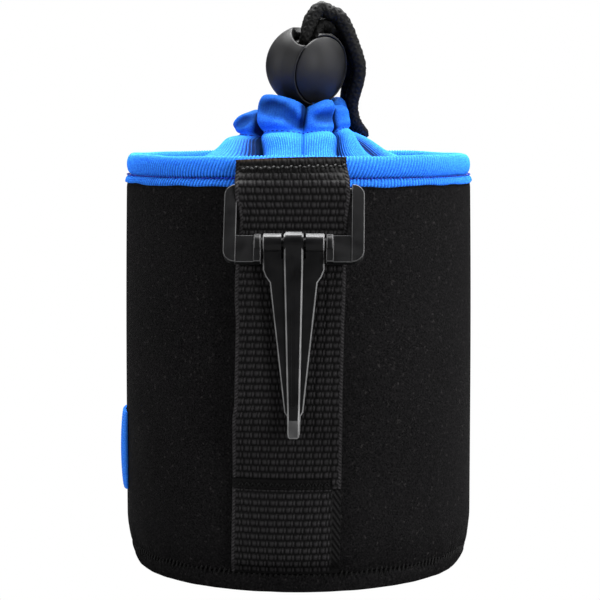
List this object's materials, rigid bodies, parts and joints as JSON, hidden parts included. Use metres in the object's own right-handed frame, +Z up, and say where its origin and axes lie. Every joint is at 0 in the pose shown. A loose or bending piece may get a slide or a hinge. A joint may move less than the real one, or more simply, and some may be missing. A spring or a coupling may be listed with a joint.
{
  "type": "drawstring lens pouch",
  "caption": "Padded round neoprene pouch with a gathered drawstring hood, ball cord lock, webbing belt loop and hanging belt clip.",
  "frame": {"origin": "centre of the base's flat underside, on the surface that the pouch stands on", "axes": "+Z up along the pouch; -Y towards the belt loop and clip; +X to the right when facing the clip"},
  "size_m": [0.0874, 0.0946, 0.1344],
  "materials": {
    "neoprene": "black knitted jersey laminated on neoprene foam, matt",
    "blue_jersey": "bright azure stretch jersey with fine ribs, soft sheen",
    "blue_lining": "bright azure lining jersey",
    "webbing": "black woven polypropylene webbing",
    "black_thread": "black sewing thread",
    "blue_thread": "blue sewing thread",
    "braid": "black braided cord",
    "black_plastic": "moulded black acetal, satin",
    "spring_steel": "drawn spring wire"
  },
  "bodies": {
    "pouch": {"body_wall": "neoprene", "base_panel": "neoprene", "body_lining": "blue_lining", "base_lining": "blue_lining", "collar_roll": "blue_jersey", "collar_hem": "blue_jersey", "drawstring_hood": "blue_jersey", "side_tab": "blue_jersey", "webbing_strap": "webbing", "strap_top_thread": "black_thread", "strap_foot_thread": "black_thread", "base_thread": "black_thread", "side_seam_thread": "black_thread", "collar_thread": "blue_thread", "channel_thread": "blue_thread", "drawstring": "braid"},
    "webbing_frame": {"clip_frame": "black_plastic"},
    "clip": {"belt_clip": "black_plastic"},
    "cord_lock": {"cord_lock_barrel": "black_plastic", "cord_lock_spring": "spring_steel"},
    "plunger": {"cord_lock_plunger": "black_plastic"}
  },
  "joints": [
    {"name": "frame_slide", "type": "slide", "parent": "pouch", "child": "webbing_frame", "axis": [0.0218, 0, 0.9998], "range_m": [-0.033, 0]},
    {"name": "clip_swing", "type": "hinge", "parent": "webbing_frame", "child": "clip", "pos_m": [0.00055, -0.04835, 0.0799], "axis": [-1, 0, 0], "range_deg": [0, 150]},
    {"name": "cord_lock_slide", "type": "slide", "parent": "pouch", "child": "cord_lock", "axis": [0.1483, -0.1457, 0.9781], "range_m": [0, 0.008], "deforming": ["drawstring"]},
    {"name": "plunger_press", "type": "slide", "parent": "cord_lock", "child": "plunger", "axis": [-0.6977, 0.6856, 0.2079], "range_m": [0, 0.003], "stiffness_N_per_m": 600, "deforming": ["cord_lock_spring"]}
  ]
}
